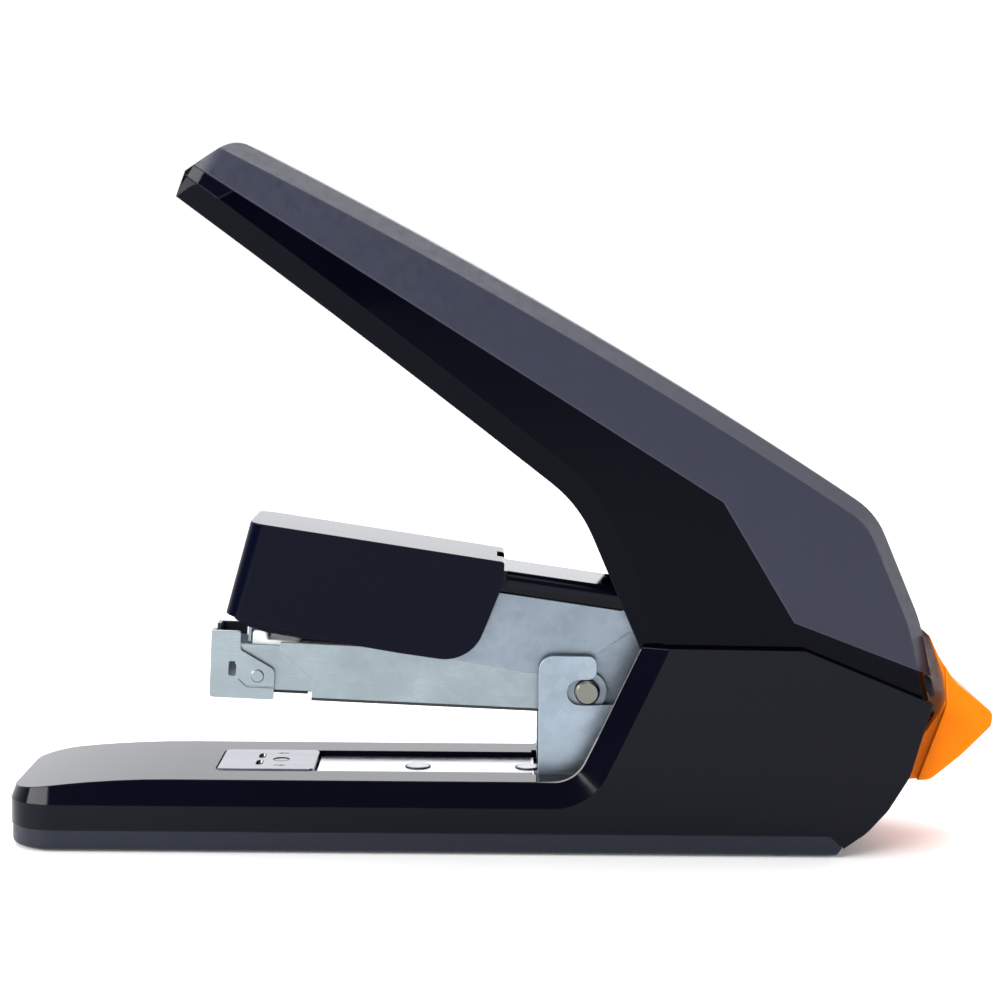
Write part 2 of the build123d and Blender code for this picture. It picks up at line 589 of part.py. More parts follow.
with BuildPart() as bracket_screws:
    for screw_x in BRACKET_SCREWS_X:
        with BuildSketch(boss_plane(screw_x, BRACKET_WEB + 0.1)):
            Circle(2.8)
        extrude(amount=-1.6)
        with BuildSketch(boss_plane(screw_x, BRACKET_WEB + 0.1)):
            Circle(1.35)
        extrude(amount=BRACKET_WEB + 1.9)
save(bracket_screws.part, "bracket_screws")

save(cross_pin(CRANK_PIN, CRANK_PIN_R, BRACKET_Y[1] + 0.8, 0.3), "crank_pin")

# ---------------------------------------------------------------- drive link
link_dx = CRANK_PIN[0] - HORN_PIN[0]
link_dz = CRANK_PIN[1] - HORN_PIN[1]
LINK_LENGTH = hypot(link_dx, link_dz)
LINK = Plane(origin=(HORN_PIN[0], 0, HORN_PIN[1]), x_dir=(link_dx, 0, link_dz), z_dir=(0, -1, 0))
with BuildPart() as drive_links:
    with BuildSketch(LINK.offset(LINK_Y[0])):
        with Locations((LINK_LENGTH / 2, 0)):
            SlotCenterToCenter(LINK_LENGTH, 9.5)
        with Locations((LINK_LENGTH, 0)):
            Circle(CRANK_PIN_R + HINGE_GAP, mode=Mode.SUBTRACT)
        with Locations((0, 0)):
            Circle(CRANK_PIN_R + LINK_SLACK, mode=Mode.SUBTRACT)
    extrude(amount=LINK_Y[1] - LINK_Y[0])
    mirror(about=Plane.XZ)
    # two tie bars join the plates into one link
    with BuildSketch(LINK):
        with Locations((LINK_LENGTH * 0.38, 0), (LINK_LENGTH * 0.66, 0)):
            Circle(1.8)
    extrude(amount=LINK_Y[0] + 0.2, both=True)
save(drive_links.part, "drive_links")

with BuildPart() as crank_sleeve:
    with BuildSketch(SIDE):
        add(disc(CRANK_PIN, CRANK_PIN_R + 1.3))
        add(disc(CRANK_PIN, CRANK_PIN_R + HINGE_GAP), mode=Mode.SUBTRACT)
    extrude(amount=LINK_Y[0], both=True)
save(crank_sleeve.part, "crank_sleeve")

# ---------------------------------------------------------------- striker arm
ARM_TOP = [(-58.0, 74.3), (32.0, 61.5)]
ARM_PLATE = [(-58.5, 62.5), ARM_TOP[0], (33.0, on_line(*ARM_TOP, 33.0)), (36.2, 71.5), (43.8, 68.0),
             (40.0, 55.0), (36.5, 36.0), (19.0, 34.4), (12.0, 44.5), (-14.0, 48.8), (-42.0, 55.0)]
FLANGE_STEP = 0.45         # the plates are set in by this much below a diagonal fold at the pivot
ARM_WEB = 1.3
with BuildPart() as striker_arm:
    with BuildSketch(SIDE.offset(ARM_Y[0])):
        add(outline(ARM_PLATE, [2, 1, 2, 4, 4, 8, 2, 5, 3, 8, 8]))
        add(disc(HEAD_PIVOT, HEAD_PIN_R + HINGE_GAP), mode=Mode.SUBTRACT)
        add(disc(HORN_PIN, CRANK_PIN_R + 0.02), mode=Mode.SUBTRACT)
    plates = extrude(amount=ARM_Y[1] - ARM_Y[0])
    mirror(plates, about=Plane.XZ)
    with BuildSketch(SIDE.offset(ARM_Y[1] - FLANGE_STEP)):
        add(outline([(10.0, 38.6), (45.0, 64.2), (45.0, 30.0), (10.0, 30.0)], 0))
    set_in = extrude(amount=FLANGE_STEP + 1, mode=Mode.SUBTRACT)
    mirror(set_in, about=Plane.XZ, mode=Mode.SUBTRACT)
    with BuildSketch(SIDE):
        add(outline([ARM_TOP[0], (28, on_line(*ARM_TOP, 28)), (28, on_line(*ARM_TOP, 28) - ARM_WEB),
                     (ARM_TOP[0][0], ARM_TOP[0][1] - ARM_WEB)], 0))
    extrude(amount=ARM_Y[0] + 0.2, both=True)
save(striker_arm.part, "striker_arm")

save(cross_pin(HORN_PIN, CRANK_PIN_R, LINK_Y[1] + 0.6, 0.3), "horn_pin")

# the hook that carries the driver blade: a bar between the arm's plates with a tongue below it
HOOK_BAR_Z = (69.6, 72.65)
TONGUE_Z = (67.4, 69.0)
with BuildPart() as blade_hook:
    with BuildSketch(Plane.XY.offset(HOOK_BAR_Z[0])):
        add(strip((-59.6, -56.0), (-ARM_Y[0], ARM_Y[0])))
    extrude(amount=HOOK_BAR_Z[1] - HOOK_BAR_Z[0])
    with BuildSketch(Plane.XY.offset(TONGUE_Z[0])):
        add(strip((-59.6, -56.0), (-3.0, 3.0)))
    extrude(amount=HOOK_BAR_Z[1] - TONGUE_Z[0])
    with BuildSketch(Plane.XY.offset(TONGUE_Z[0])):
        add(strip((-67.0, -57.0), (-3.0, 3.0)))
    extrude(amount=TONGUE_Z[1] - TONGUE_Z[0])
    fillet(blade_hook.edges().filter_by(Axis.Y).group_by(Axis.X)[0], 0.5)
save(blade_hook.part, "blade_hook")

HEAD_OUTLINE = [(-64.4, 84.3), (1.3, 74.5), (1.1, 69.0), (-7.3, 48.0), (-25.4, 50.5), (-40.6, 53.0),
                (-60.3, 57.4), (-67.1, 59.2), (-70.9, 60.4)]
HEAD_RADII = [0, 0.8, 0.6, 10.5, 60, 40, 20, 3, 0]
HEAD_LIP = [(-69.0, 59.3), (-65.0, 57.0), (-60.0, 55.4), (-50.0, 53.8), (-36.0, 52.6), (-36.0, 57.0),
            (-66.0, 63.0)]     # inner lip, a little lower than the outer wall
LIP_Y = (11.3, HEAD_HALF - HEAD_WALL + 0.1)
NOTCH_TOP = 71.5           # the front wall is notched below this, so that it passes round the guard
with BuildPart() as head_cover:
    with BuildSketch(SIDE):
        add(outline(HEAD_OUTLINE, HEAD_RADII))
    extrude(amount=HEAD_HALF, both=True)
    front_edges = [
        e for e in head_cover.edges().filter_by(GeomType.LINE)
        if e.center().X < -66 and abs(e.center().Y) > HEAD_HALF - 0.1 and e.length > 12
    ]
    fillet(front_edges, 4.0)
    with BuildSketch(SIDE):
        add(
            outline(
                [(-62.8, 82.2), (10.0, 71.4), (10.0, 40.0), (-69.3, 40.0), (-69.3, 59.0)],
                [1, 0, 0, 0, 0],
            )
        )
    extrude(amount=HEAD_HALF - HEAD_WALL, both=True, mode=Mode.SUBTRACT)
    with BuildSketch(SIDE.offset(LIP_Y[0])):
        add(outline(HEAD_LIP, [1, 3, 3, 3, 0, 0, 0]))
    lip = extrude(amount=LIP_Y[1] - LIP_Y[0])
    mirror(lip, about=Plane.XZ)
    with BuildSketch(SIDE):
        add(strip((-80, -60), (50, NOTCH_TOP)))
    extrude(amount=GUARD_Y[1] + 1.1, both=True, mode=Mode.SUBTRACT)
    # small notch at the rear of its top
    with BuildSketch(SIDE):
        add(strip((-0.7, 5), (70, 80)))
    extrude(amount=4.5, both=True, mode=Mode.SUBTRACT)
save(head_cover.part, "head_cover")

# gloss spine on top of the arm, running back from under the head cover
SPINE_TOP = [(1.9, 71.9), (33.4, 67.4)]
SPINE_EDGE = [(1.9, 67.9), (33.4, 63.8)]     # lower edge of its overhanging sides
SPINE_FRONT_HALF = HEAD_HALF - HEAD_WALL - 0.3
with BuildPart() as spine_cover:
    with BuildSketch(SIDE):
        add(outline([SPINE_TOP[0], SPINE_TOP[1], SPINE_EDGE[1], SPINE_EDGE[0]], 0))
    extrude(amount=13.0, both=True)
    top_corners = [
        e for e in spine_cover.edges()
        if abs(e.center().Y) > 12.9 and e.length > 20 and e.center().Z > 69
    ]
    fillet(top_corners, 2.2)
    with BuildSketch(SIDE):
        add(
            outline(
                [(-6.0, on_line(*SPINE_TOP, -6.0) - 0.9), (33.4, on_line(*SPINE_TOP, 33.4) - 0.9),
                 (33.4, on_line(*ARM_TOP, 33.4)), (-6.0, on_line(*ARM_TOP, -6.0))],
                0,
            )
        )
    extrude(amount=ARM_Y[0] - 0.1, both=True)
    # its front end reaches under the head cover
    with BuildSketch(SIDE):
        add(
            outline(
                [(-6.0, on_line(*SPINE_TOP, -6.0)), (2.0, on_line(*SPINE_TOP, 2.0)),
                 (2.0, on_line(*SPINE_EDGE, 2.0)), (-6.0, on_line(*SPINE_EDGE, -6.0))],
                0,
            )
        )
    extrude(amount=SPINE_FRONT_HALF, both=True)
    with BuildSketch(SIDE):
        add(outline([(-7.0, 60.0), (-7.0, on_line(*ARM_TOP, -7.0)), (40.0, on_line(*ARM_TOP, 40.0)),
                     (40.0, 50.0)], 0))
    extrude(amount=ARM_Y[1] + 0.1, both=True, mode=Mode.SUBTRACT)
    # slots for the arm's two horns
    with BuildSketch(SIDE.offset(ARM_Y[0] - 0.1)):
        add(strip((30.5, 40.0), (60.0, 80.0)))
    slot = extrude(amount=ARM_Y[1] - ARM_Y[0] + 0.2, mode=Mode.SUBTRACT)
    mirror(slot, about=Plane.XZ, mode=Mode.SUBTRACT)
save(spine_cover.part, "spine_cover")

# ---------------------------------------------------------------- driver blade
BLADE_BOTTOM = MAG_TOP - 0.5
BLADE_TOP = 27.9
with BuildPart() as driver_blade:
    with BuildSketch(MAG):
        add(strip((BLADE_U - BLADE_THICKNESS / 2, BLADE_U + BLADE_THICKNESS / 2),
                  (BLADE_BOTTOM, BLADE_TOP)))
    extrude(amount=BLADE_HALF, both=True)
    # window for the arm's hook, with play for the hook's swing
    with BuildSketch(MAG):
        add(strip((BLADE_U - 3, BLADE_U + 3), (22.4, 26.4)))
    extrude(amount=3.6, both=True, mode=Mode.SUBTRACT)
save(driver_blade.part, "driver_blade")

# ---------------------------------------------------------------- magazine
CHANNEL = [(-80.6, MAG_TOP), (-80.6, 6.3), (-71.8, -0.9), (-71.8, MAG_BOTTOM), (9.5, MAG_BOTTOM),
           (9.5, MAG_TOP)]
CORE_U = (-87.9, -10.0)
CORE_V = (MAG_BOTTOM + 1.0, 7.0)
CORE_KEEL = [(CORE_U[0], -73.0), (-5.5, CORE_V[0] + 0.1)]   # deeper front end, ahead of the floor
CORE_WALL = 0.9
CORE_END = 1.2
with BuildPart() as magazine_channel:
    with BuildSketch(MAG.offset(CHANNEL_Y[0])):
        add(outline(CHANNEL, [0.6, 1.5, 1.5, 0, 3, 3]))
        add(disc((0, 0), HEAD_PIN_R + HINGE_GAP), mode=Mode.SUBTRACT)
    cheeks = extrude(amount=CHANNEL_Y[1] - CHANNEL_Y[0])
    mirror(cheeks, about=Plane.XZ)
    with BuildSketch(MAG):
        add(strip((CHANNEL[3][0], 4.0), (MAG_BOTTOM, MAG_BOTTOM + 1.0)))
    extrude(amount=CHANNEL_Y[0] + 0.2, both=True)
    with BuildSketch(MAG):
        add(strip((-55.6, -54.4), (MAG_BOTTOM - 1, MAG_BOTTOM + 2)))
        add(strip((-20.6, -19.4), (MAG_BOTTOM - 1, MAG_BOTTOM + 2)))
    extrude(amount=3.0, both=True, mode=Mode.SUBTRACT)
save(magazine_channel.part, "magazine_channel")

with BuildPart() as magazine_liner:
    with BuildSketch(MAG):
        add(strip((CHANNEL[3][0], -12.0), (MAG_BOTTOM - 0.7, MAG_BOTTOM)))
    extrude(amount=CHANNEL_Y[1], both=True)
save(magazine_liner.part, "magazine_liner")

with BuildPart() as pivot_sleeve:
    with BuildSketch(MAG):
        Circle(HEAD_PIN_R + 1.2)
        Circle(HEAD_PIN_R + HINGE_GAP, mode=Mode.SUBTRACT)
    extrude(amount=CHANNEL_Y[0], both=True)
save(pivot_sleeve.part, "pivot_sleeve")

# hollow core that the staples ride on, with a slot along its top for the pusher's fin
SLOT_U = (-85.0, -16.0)
with BuildPart() as staple_core:
    with BuildSketch(MAG):
        add(strip(CORE_U, CORE_V))
        add(strip(*CORE_KEEL))
    extrude(amount=CORE_HALF, both=True)
    with BuildSketch(MAG):
        add(strip((CORE_U[0] + CORE_END, CORE_U[1] - CORE_END), (CORE_V[0] - 1, CORE_V[1] - CORE_WALL)))
    extrude(amount=CORE_HALF - CORE_WALL, both=True, mode=Mode.SUBTRACT)
    with BuildSketch(MAG):
        add(strip(SLOT_U, (CORE_V[1] - 2, CORE_V[1] + 1)))
    extrude(amount=1.3, both=True, mode=Mode.SUBTRACT)
save(staple_core.part, "staple_core")

ROD_V = 1.6
ROD_R = 0.9
rod_plane = Plane(
    origin=MAG.from_local_coords((CORE_U[0] + CORE_END, ROD_V, 0)), x_dir=(0, 1, 0), z_dir=MAG.x_dir
)
with BuildPart() as pusher_rod:
    with BuildSketch(rod_plane):
        Circle(ROD_R)
    extrude(amount=CORE_U[1] - CORE_U[0] - 2 * CORE_END)
save(pusher_rod.part, "pusher_rod")

FIN_U = (-83.0, -80.0)
with BuildPart() as pusher:
    with BuildSketch(MAG):
        add(outline([(CORE_U[0], CORE_V[1] - 4.6), (CORE_U[0], 10.9), (-84.6, 10.9), (-84.0, 8.6),
                     (-76.0, 8.4), (-76.0, CORE_V[1] - 4.6)], [0, 0.8, 0.8, 0.5, 0.8, 1]))
    extrude(amount=BLADE_HALF + 0.1, both=True)
    with BuildSketch(MAG):
        add(strip((CORE_U[0] - 1, -70), (CORE_V[0], CORE_V[1] + 0.2)))
    extrude(amount=CORE_HALF + 0.15, both=True, mode=Mode.SUBTRACT)
    # gap in the front bump for the hook's tongue
    with BuildSketch(MAG):
        add(strip((CORE_U[0] - 1, -84.0), (8.5, 12)))
    extrude(amount=3.6, both=True, mode=Mode.SUBTRACT)
    # a fin through the core's slot carries a bushing that runs on the rod
    with BuildSketch(MAG):
        add(strip(FIN_U, (ROD_V, 8.0)))
    extrude(amount=1.0, both=True)
    bushing_plane = rod_plane.offset(FIN_U[0] - CORE_U[0] - CORE_END)
    with BuildSketch(bushing_plane):
        Circle(2.4)
    extrude(amount=FIN_U[1] - FIN_U[0])
    with BuildSketch(bushing_plane):
        Circle(ROD_R + 0.15)
    extrude(amount=FIN_U[1] - FIN_U[0], mode=Mode.SUBTRACT)
save(pusher.part, "pusher")

spring_plane = Plane(origin=MAG.from_local_coords((FIN_U[1], ROD_V, 0)), x_dir=(0, 1, 0), z_dir=MAG.x_dir)
save(coil(spring_plane, 1.7, 0.5, 4.2, 15.5), "pusher_spring")

# return spring under the magazine, between the frame's ears
MAG_SPRING_X = 16.0
mag_spring_base = Plane(origin=(MAG_SPRING_X, 0, WEB_Z + SHEET))
save(coil(mag_spring_base, 3.0, 0.8, 2.5, 7), "magazine_spring")

# ---------------------------------------------------------------- staple drawer
GUARD = [(GUARD_U, -6.9), (GUARD_U, 10.7), (-90.8, 10.8), (-90.8, 6.0), (-81.7, 1.1), (-81.7, -6.9)]
GUARD_SLOT = (-92.7, 0.9)  # u, v of the oblong window in each side
DIMPLE = (-86.1, -0.8)
with BuildPart() as front_guard:
    with BuildSketch(MAG.offset(GUARD_Y[0])):
        add(outline(GUARD, [0.5, 0.8, 0.8, 1.2, 2.0, 0.5]))
        with Locations(GUARD_SLOT):
            RectangleRounded(2.0, 3.8, 0.5, mode=Mode.SUBTRACT)
    sides = extrude(amount=GUARD_Y[1] - GUARD_Y[0])
    mirror(sides, about=Plane.XZ)
    # pressed dimple, and the joint of the folded base flange
    with BuildSketch(MAG.offset(GUARD_Y[1])):
        add(disc(DIMPLE, 1.75))
    dimple = extrude(amount=0.3, taper=40)
    mirror(dimple, about=Plane.XZ)
    with BuildSketch(MAG.offset(GUARD_Y[1] - 0.25)):
        add(outline([(-91.0, -1.9), (-90.7, -1.7), (-88.7, -3.5), (-81.0, -3.5), (-81.0, -3.85),
                     (-88.9, -3.85)], 0))
        add(strip((GUARD_U - 1, GUARD_U + 0.8), (6.2, 6.9)))
        add(strip((GUARD_U - 1, GUARD_U + 0.8), (1.9, 2.3)))
    joint_line = extrude(amount=1.0, mode=Mode.SUBTRACT)
    mirror(joint_line, about=Plane.XZ, mode=Mode.SUBTRACT)
    with BuildSketch(MAG):
        add(strip((GUARD_U, GUARD_U + 1.0), (GUARD[0][1], GUARD[1][1])))
    extrude(amount=GUARD_Y[1], both=True)
    corner = front_guard.edges().filter_by(lambda e: e.length > 16).group_by(Axis.X)[0]
    fillet(corner, 0.9)
    # notch in the front plate's top edge for the hook's tongue
    with BuildSketch(MAG):
        add(strip((GUARD_U - 1, GUARD_U + 3), (7.8, 12)))
    extrude(amount=3.6, both=True, mode=Mode.SUBTRACT)
    # viewing window in the front plate
    with BuildSketch(MAG):
        add(strip((GUARD_U - 1, GUARD_U + 3), (0.6, 4.6)))
    extrude(amount=4.2, both=True, mode=Mode.SUBTRACT)
save(front_guard.part, "front_guard")

RAIL = [(GUARD_U + 1.0, -4.4), (GUARD_U + 1.0, 7.4), (-14.0, 7.4), (-14.0, -4.4)]
with BuildPart() as drawer_rails:
    with BuildSketch(MAG.offset(RAIL_Y[0])):
        add(outline(RAIL, [0, 0, 1, 1]))
        with Locations(GUARD_SLOT):
            RectangleRounded(2.0, 3.8, 0.5, mode=Mode.SUBTRACT)
    extrude(amount=RAIL_Y[1] - RAIL_Y[0])
    mirror(about=Plane.XZ)
save(drawer_rails.part, "drawer_rails")

# ---------------------------------------------------------------- release lever and its rod
LEVER = [(110.7, 56.6), (113.3, 51.3), (117.2, 45.0), (127.2, 37.0), (126.9, 33.6), (119.6, 26.1),
         (111.5, 19.3), (101.0, 18.6), (98.6, 25.6), (103.6, 29.0), (109.5, 30.0), (115.4, 39.0),
         (114.6, 46.0)]
LEVER_RADII = [0, 10, 10, 2.2, 2.2, 30, 4, 2, 3, 2, 5, 6, 10]
NECK_LINE = [(108.0, 18.0), (115.4, 39.0), (114.0, 58.0)]     # the wider thumb pad lies behind this line
PAD_HALF = 18.5
LEVER_POCKET = [(96.0, 31.5), (96.0, 20.9), (109.6, 21.2), (118.0, 28.0), (123.6, 34.6), (123.4, 36.2),
                (117.8, 41.8), (111.0, 32.6), (104.0, 31.5)]
LEVER_HALF = 16.5
LEVER_PIN_R = 1.5
ROD_HALF = 4.0             # half width of the release rod
with BuildPart() as release_lever:
    with BuildSketch(SIDE):
        add(outline(LEVER, LEVER_RADII))
    extrude(amount=LEVER_HALF, both=True)
    with BuildSketch(SIDE):
        add(outline(LEVER, LEVER_RADII))
        add(outline([*NECK_LINE, (130, 58), (130, 18)], 0), mode=Mode.INTERSECT)
    extrude(amount=PAD_HALF, both=True)
    with BuildSketch(SIDE):
        add(outline(LEVER_POCKET, [0, 0, 3, 10, 1.5, 1.5, 0.8, 3, 0]))
    extrude(amount=LEVER_HALF - 2.6, both=True, mode=Mode.SUBTRACT)
    # tail that pushes the release rod
    with BuildSketch(SIDE):
        add(strip((96.4, 101.5), (19.2, 21.6)))
    extrude(amount=ROD_HALF, both=True)
    with BuildSketch(SIDE):
        add(disc(LEVER_PIVOT, LEVER_PIN_R + HINGE_GAP))
    extrude(amount=LEVER_HALF + 1, both=True, mode=Mode.SUBTRACT)
save(release_lever.part, "release_lever")

save(cross_pin(LEVER_PIVOT, LEVER_PIN_R, 21.6, 0.3), "lever_pin")
lever_coil = Plane(origin=(LEVER_PIVOT[0], 3.6, LEVER_PIVOT[1]), z_dir=(0, -1, 0))
save(coil(lever_coil, 2.2, 0.6, 0.95, 6), "lever_spring")

with BuildPart() as release_rod:
    with BuildSketch(SIDE):
        add(outline([(35.0, 16.1), (96.0, 16.1), (96.0, 21.0), (94.8, 21.0), (94.8, 17.3),
                     (36.2, 17.3), (36.2, 33.0), (35.0, 33.0)], [1.2, 1.2, 0, 0, 0, 0, 0, 0]))
    extrude(amount=ROD_HALF, both=True)
save(release_rod.part, "release_rod")
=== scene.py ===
import json
from math import acos, atan2, cos, pi, radians, sin, tan

import bmesh
import bpy
from mathutils import Matrix, Vector


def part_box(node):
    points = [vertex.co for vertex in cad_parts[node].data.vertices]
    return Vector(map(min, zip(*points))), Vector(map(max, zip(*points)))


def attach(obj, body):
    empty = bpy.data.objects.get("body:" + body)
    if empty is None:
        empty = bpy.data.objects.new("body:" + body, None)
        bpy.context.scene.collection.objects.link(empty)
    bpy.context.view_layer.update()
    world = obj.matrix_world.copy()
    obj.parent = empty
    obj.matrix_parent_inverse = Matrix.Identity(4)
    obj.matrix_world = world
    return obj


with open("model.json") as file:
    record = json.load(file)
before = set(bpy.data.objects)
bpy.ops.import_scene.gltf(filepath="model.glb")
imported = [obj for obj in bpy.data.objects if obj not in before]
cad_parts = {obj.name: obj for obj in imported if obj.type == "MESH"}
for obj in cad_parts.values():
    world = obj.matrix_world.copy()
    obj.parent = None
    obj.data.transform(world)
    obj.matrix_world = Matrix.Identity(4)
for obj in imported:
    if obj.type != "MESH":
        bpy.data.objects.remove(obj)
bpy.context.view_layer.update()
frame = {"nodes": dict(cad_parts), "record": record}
nodes = frame["nodes"]
scene = bpy.context.scene
MM = 0.001

# ---------------------------------------------------------------- camera
CAMERA_AT = (0.0, -0.575, 0.153)
TILT_DOWN = 6.35           # degrees below the horizon
ROLL = 0.45
FOCAL_WIDTHS = 2.2         # focal length in picture widths
SENSOR_MM = 36.0


def make_camera():
    data = bpy.data.cameras.new("camera")
    data.sensor_width = SENSOR_MM
    data.lens = FOCAL_WIDTHS * SENSOR_MM
    data.clip_start = 0.01
    data.clip_end = 50.0
    camera = bpy.data.objects.new("camera", data)
    scene.collection.objects.link(camera)
    camera.matrix_world = (
        Matrix.Translation(CAMERA_AT)
        @ Matrix.Rotation(radians(90.0 - TILT_DOWN), 4, "X")
        @ Matrix.Rotation(radians(ROLL), 4, "Z")
    )
    scene.camera = camera


# ---------------------------------------------------------------- studio
FRONT_GLOW = 0.13          # what glossy sides that face the camera reflect
BACK_GLOW = 1.95           # what glossy tops reflect
FLOOR_GLOW = 0.09          # the floor's own light, which keeps it pale to the horizon
DARK_UNTIL_Y = -0.45       # direction at which the dark front starts to brighten
BRIGHT_FROM_Y = 0.65       # direction from which the back is fully bright
SKY_TINT = (0.965, 0.975, 1.0, 1.0)
PURE_WHITE = (1.0, 1.0, 1.0, 1.0)
FLOOR_REACH = 6.0          # metres from the middle to each side
SOFTBOXES = {              # place, aim, width and height in metres, then watts
    "front_top_box": ((0.15, -0.85, 1.45), (0, 0, 0.08), (1.1, 0.8), 6.0),
    "top_box": ((0.1, 0.3, 1.5), (0, 0, 0.05), (1.4, 1.4), 14.0),
    "left_box": ((-0.88, -0.71, 0.51), (-0.1, 0, 0.09), (1.05, 0.36), 17.0),
}


def make_world():
    """White to the eye; for light and reflections dark in front and bright behind."""
    world = bpy.data.worlds.new("studio")
    scene.world = world
    world.use_nodes = True
    tree = world.node_tree
    tree.nodes.clear()
    out = tree.nodes.new("ShaderNodeOutputWorld")
    light = tree.nodes.new("ShaderNodeBackground")
    seen = tree.nodes.new("ShaderNodeBackground")
    chooser = tree.nodes.new("ShaderNodeMixShader")
    path = tree.nodes.new("ShaderNodeLightPath")
    coords = tree.nodes.new("ShaderNodeTexCoord")
    split = tree.nodes.new("ShaderNodeSeparateXYZ")
    fade = tree.nodes.new("ShaderNodeMapRange")
    fade.interpolation_type = "SMOOTHSTEP"
    fade.inputs["From Min"].default_value = DARK_UNTIL_Y
    fade.inputs["From Max"].default_value = BRIGHT_FROM_Y
    fade.inputs["To Min"].default_value = FRONT_GLOW
    fade.inputs["To Max"].default_value = BACK_GLOW
    light.inputs["Color"].default_value = SKY_TINT
    seen.inputs["Color"].default_value = PURE_WHITE
    tree.links.new(coords.outputs["Generated"], split.inputs[0])
    tree.links.new(split.outputs["Y"], fade.inputs["Value"])
    tree.links.new(fade.outputs["Result"], light.inputs["Strength"])
    tree.links.new(path.outputs["Is Camera Ray"], chooser.inputs["Fac"])
    tree.links.new(light.outputs[0], chooser.inputs[1])
    tree.links.new(seen.outputs[0], chooser.inputs[2])
    tree.links.new(chooser.outputs[0], out.inputs["Surface"])


def softbox(name, at, aim, size, watts):
    data = bpy.data.lights.new(name, "AREA")
    data.shape = "RECTANGLE"
    data.size, data.size_y = size
    data.energy = watts
    light = bpy.data.objects.new(name, data)
    scene.collection.objects.link(light)
    light.location = at
    light.rotation_euler = (Vector(aim) - Vector(at)).to_track_quat("-Z", "Y").to_euler()


def make_studio():
    scene.view_settings.view_transform = "Standard"
    scene.view_settings.look = "None"
    scene.view_settings.exposure = 0.0
    make_world()
    for name, setting in SOFTBOXES.items():
        softbox(name, *setting)


# ---------------------------------------------------------------- material toolkit
class Mat:
    """A node material built up around one Principled shader."""

    def __init__(self, name):
        self.mat = bpy.data.materials.new(name)
        self.mat.use_nodes = True
        self.tree = self.mat.node_tree
        self.tree.nodes.clear()
        self.out = self.new("ShaderNodeOutputMaterial")
        self.shader = self.new("ShaderNodeBsdfPrincipled")
        self.link(self.shader.outputs[0], self.out.inputs["Surface"])
        self.coords = self.new("ShaderNodeTexCoord").outputs["Object"]

    def new(self, kind):
        return self.tree.nodes.new(kind)

    def link(self, a, b):
        self.tree.links.new(a, b)

    def put(self, value, socket):
        """Link a node's output to a socket, or set a plain value on it."""
        if isinstance(value, bpy.types.NodeSocket):
            self.link(value, socket)
        elif isinstance(value, tuple):
            socket.default_value = (*value, 1.0)
        else:
            socket.default_value = value

    def set(self, **values):
        for key, value in values.items():
            self.shader.inputs[key.replace("_", " ")].default_value = value

    def noise(self, scale, detail=4.0, rough=0.55, stretch=(1, 1, 1)):
        mapping = self.new("ShaderNodeMapping")
        mapping.inputs["Scale"].default_value = stretch
        self.link(self.coords, mapping.inputs["Vector"])
        node = self.new("ShaderNodeTexNoise")
        node.inputs["Scale"].default_value = scale
        node.inputs["Detail"].default_value = detail
        node.inputs["Roughness"].default_value = rough
        self.link(mapping.outputs[0], node.inputs["Vector"])
        return node.outputs["Fac"]

    def cells(self, scale):
        """Random grey per crystal-like cell."""
        node = self.new("ShaderNodeTexVoronoi")
        node.inputs["Scale"].default_value = scale
        self.link(self.coords, node.inputs["Vector"])
        split = self.new("ShaderNodeSeparateColor")
        self.link(node.outputs["Color"], split.inputs[0])
        return split.outputs[0]

    def ramp(self, value, low, high, to_low, to_high):
        node = self.new("ShaderNodeMapRange")
        node.inputs["From Min"].default_value = low
        node.inputs["From Max"].default_value = high
        node.inputs["To Min"].default_value = to_low
        node.inputs["To Max"].default_value = to_high
        self.link(value, node.inputs["Value"])
        return node.outputs["Result"]

    def math(self, operation, a, b):
        node = self.new("ShaderNodeMath")
        node.operation = operation
        self.put(a, node.inputs[0])
        self.put(b, node.inputs[1])
        return node.outputs[0]

    def mix(self, factor, a, b):
        node = self.new("ShaderNodeMix")
        node.data_type = "RGBA"
        self.put(factor, node.inputs["Factor"])
        self.put(a, node.inputs["A"])
        self.put(b, node.inputs["B"])
        return node.outputs["Result"]

    def edges(self, radius):
        """0 on flat faces, towards 1 along edges."""
        bevel = self.new("ShaderNodeBevel")
        bevel.samples = 4
        bevel.inputs["Radius"].default_value = radius
        flat = self.new("ShaderNodeNewGeometry").outputs["Normal"]
        dot = self.new("ShaderNodeVectorMath")
        dot.operation = "DOT_PRODUCT"
        self.link(bevel.outputs[0], dot.inputs[0])
        self.link(flat, dot.inputs[1])
        return self.ramp(dot.outputs["Value"], 1.0, 0.85, 0.0, 1.0)

    def inside(self, half_width):
        """1 nearer to the symmetry plane than half_width, else 0."""
        split = self.new("ShaderNodeSeparateXYZ")
        self.link(self.coords, split.inputs[0])
        distance = self.new("ShaderNodeMath")
        distance.operation = "ABSOLUTE"
        self.link(split.outputs["Y"], distance.inputs[0])
        return self.math("LESS_THAN", distance.outputs[0], half_width)

    def surface(self, layers, radius):
        """Bump from (height, strength, distance) layers over softened edges."""
        bevel = self.new("ShaderNodeBevel")
        bevel.samples = 6
        bevel.inputs["Radius"].default_value = radius
        normal = bevel.outputs[0]
        for height, strength, distance in layers:
            bump = self.new("ShaderNodeBump")
            bump.inputs["Strength"].default_value = strength
            bump.inputs["Distance"].default_value = distance
            self.link(height, bump.inputs["Height"])
            self.link(normal, bump.inputs["Normal"])
            normal = bump.outputs[0]
        self.link(normal, self.shader.inputs["Normal"])

    def color(self, value):
        self.link(value, self.shader.inputs["Base Color"])

    def rough(self, value):
        self.link(value, self.shader.inputs["Roughness"])


def scaled(color, factor):
    return tuple(min(1.0, c * factor) for c in color)


